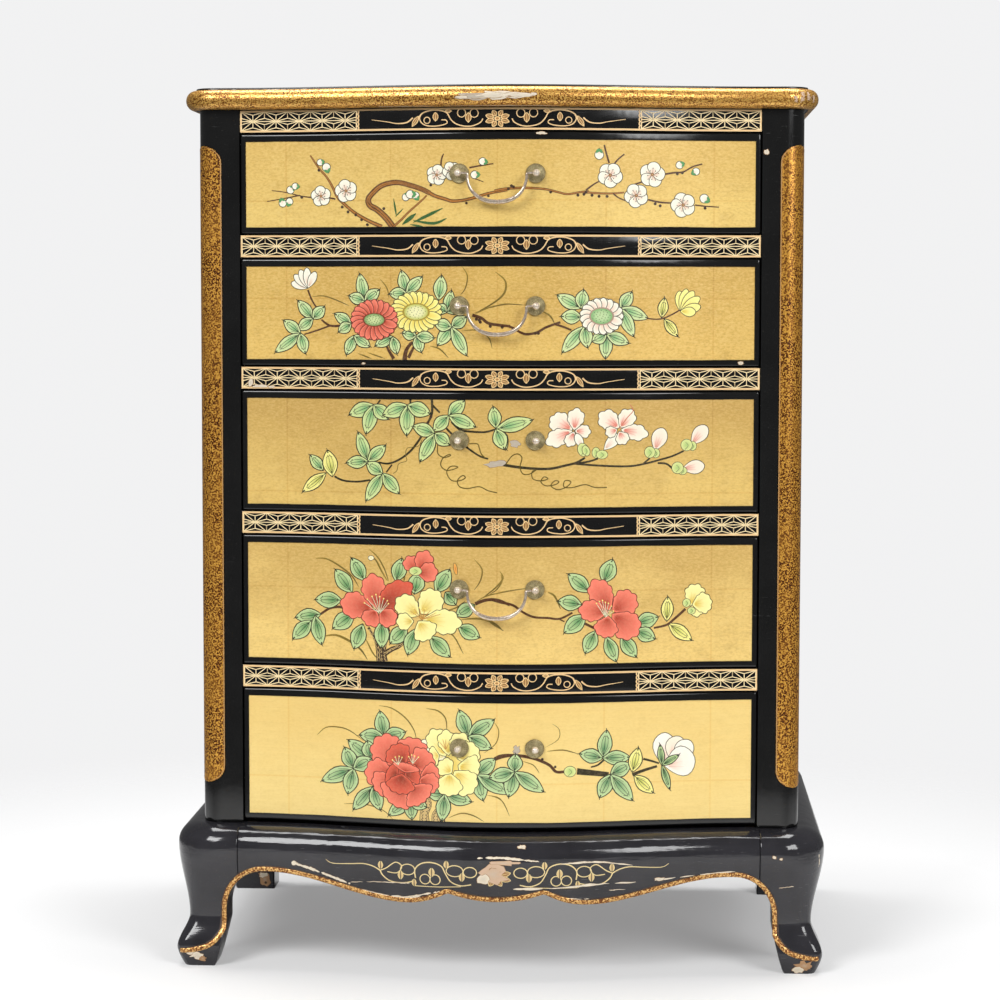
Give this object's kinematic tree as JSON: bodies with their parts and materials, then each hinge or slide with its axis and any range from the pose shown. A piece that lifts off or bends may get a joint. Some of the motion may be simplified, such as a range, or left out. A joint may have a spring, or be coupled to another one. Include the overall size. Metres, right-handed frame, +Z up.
{
  "type": "drawer cabinet",
  "caption": "Bow-front lacquer chest of drawers on a stand with cabriole legs and a scalloped apron; gold drawer fields, gilt strips and moulding, swinging bail pulls",
  "frame": {"origin": "on the floor, under the middle of the chest's overall width and depth", "axes": "+X to the chest's right as the viewer sees it from the front, -Y out of the front, +Z up"},
  "size_m": [0.6688, 0.457, 0.8978],
  "materials": {
    "black_lacquer": "glossy",
    "gold_leaf": "satin",
    "gilt_speckle": "satin",
    "bare_wood": "matte",
    "pewter": "satin"
  },
  "bodies": {
    "chest": {"top_panel": "black_lacquer", "top_moulding": "gilt_speckle", "side_left": "black_lacquer", "side_right": "black_lacquer", "back_panel": "bare_wood", "bottom_board": "bare_wood", "stile_left": "black_lacquer", "stile_right": "black_lacquer", "gilt_strip_left": "gilt_speckle", "gilt_strip_right": "gilt_speckle", "rail_1": "black_lacquer", "rail_2": "black_lacquer", "rail_3": "black_lacquer", "rail_4": "black_lacquer", "rail_5": "black_lacquer", "leg_front_left": "black_lacquer", "leg_front_right": "black_lacquer", "leg_rear_left": "black_lacquer", "leg_rear_right": "black_lacquer", "apron_front": "black_lacquer", "apron_left": "black_lacquer", "apron_right": "black_lacquer"},
    "drawer_1": {"drawer_1_front": "gold_leaf", "drawer_1_side_left": "bare_wood", "drawer_1_side_right": "bare_wood", "drawer_1_back": "bare_wood", "drawer_1_bottom": "bare_wood", "pull_1_left": "pewter", "pull_1_right": "pewter"},
    "bail_1": {"bail_1": "pewter"},
    "drawer_2": {"drawer_2_front": "gold_leaf", "drawer_2_side_left": "bare_wood", "drawer_2_side_right": "bare_wood", "drawer_2_back": "bare_wood", "drawer_2_bottom": "bare_wood", "pull_2_left": "pewter", "pull_2_right": "pewter"},
    "bail_2": {"bail_2": "pewter"},
    "drawer_3": {"drawer_3_front": "gold_leaf", "drawer_3_side_left": "bare_wood", "drawer_3_side_right": "bare_wood", "drawer_3_back": "bare_wood", "drawer_3_bottom": "bare_wood", "pull_3_left": "pewter", "pull_3_right": "pewter"},
    "drawer_4": {"drawer_4_front": "gold_leaf", "drawer_4_side_left": "bare_wood", "drawer_4_side_right": "bare_wood", "drawer_4_back": "bare_wood", "drawer_4_bottom": "bare_wood", "pull_4_left": "pewter", "pull_4_right": "pewter"},
    "bail_4": {"bail_4": "pewter"},
    "drawer_5": {"drawer_5_front": "gold_leaf", "drawer_5_side_left": "bare_wood", "drawer_5_side_right": "bare_wood", "drawer_5_back": "bare_wood", "drawer_5_bottom": "bare_wood", "pull_5_left": "pewter", "pull_5_right": "pewter"}
  },
  "joints": [
    {"name": "drawer_1_slide", "type": "slide", "parent": "chest", "child": "drawer_1", "axis": [0, -1, 0], "range_m": [0, 0.255]},
    {"name": "bail_1_swing", "type": "hinge", "parent": "drawer_1", "child": "bail_1", "pos_m": [0, -0.20953, 0.81015], "axis": [-1, 0, 0], "range_deg": [0, 110]},
    {"name": "drawer_2_slide", "type": "slide", "parent": "chest", "child": "drawer_2", "axis": [0, -1, 0], "range_m": [0, 0.255]},
    {"name": "bail_2_swing", "type": "hinge", "parent": "drawer_2", "child": "bail_2", "pos_m": [0, -0.20953, 0.67865], "axis": [-1, 0, 0], "range_deg": [0, 110]},
    {"name": "drawer_3_slide", "type": "slide", "parent": "chest", "child": "drawer_3", "axis": [0, -1, 0], "range_m": [0, 0.255]},
    {"name": "drawer_4_slide", "type": "slide", "parent": "chest", "child": "drawer_4", "axis": [0, -1, 0], "range_m": [0, 0.255]},
    {"name": "bail_4_swing", "type": "hinge", "parent": "drawer_4", "child": "bail_4", "pos_m": [0, -0.20953, 0.39415], "axis": [-1, 0, 0], "range_deg": [0, 110]},
    {"name": "drawer_5_slide", "type": "slide", "parent": "chest", "child": "drawer_5", "axis": [0, -1, 0], "range_m": [0, 0.255]}
  ]
}
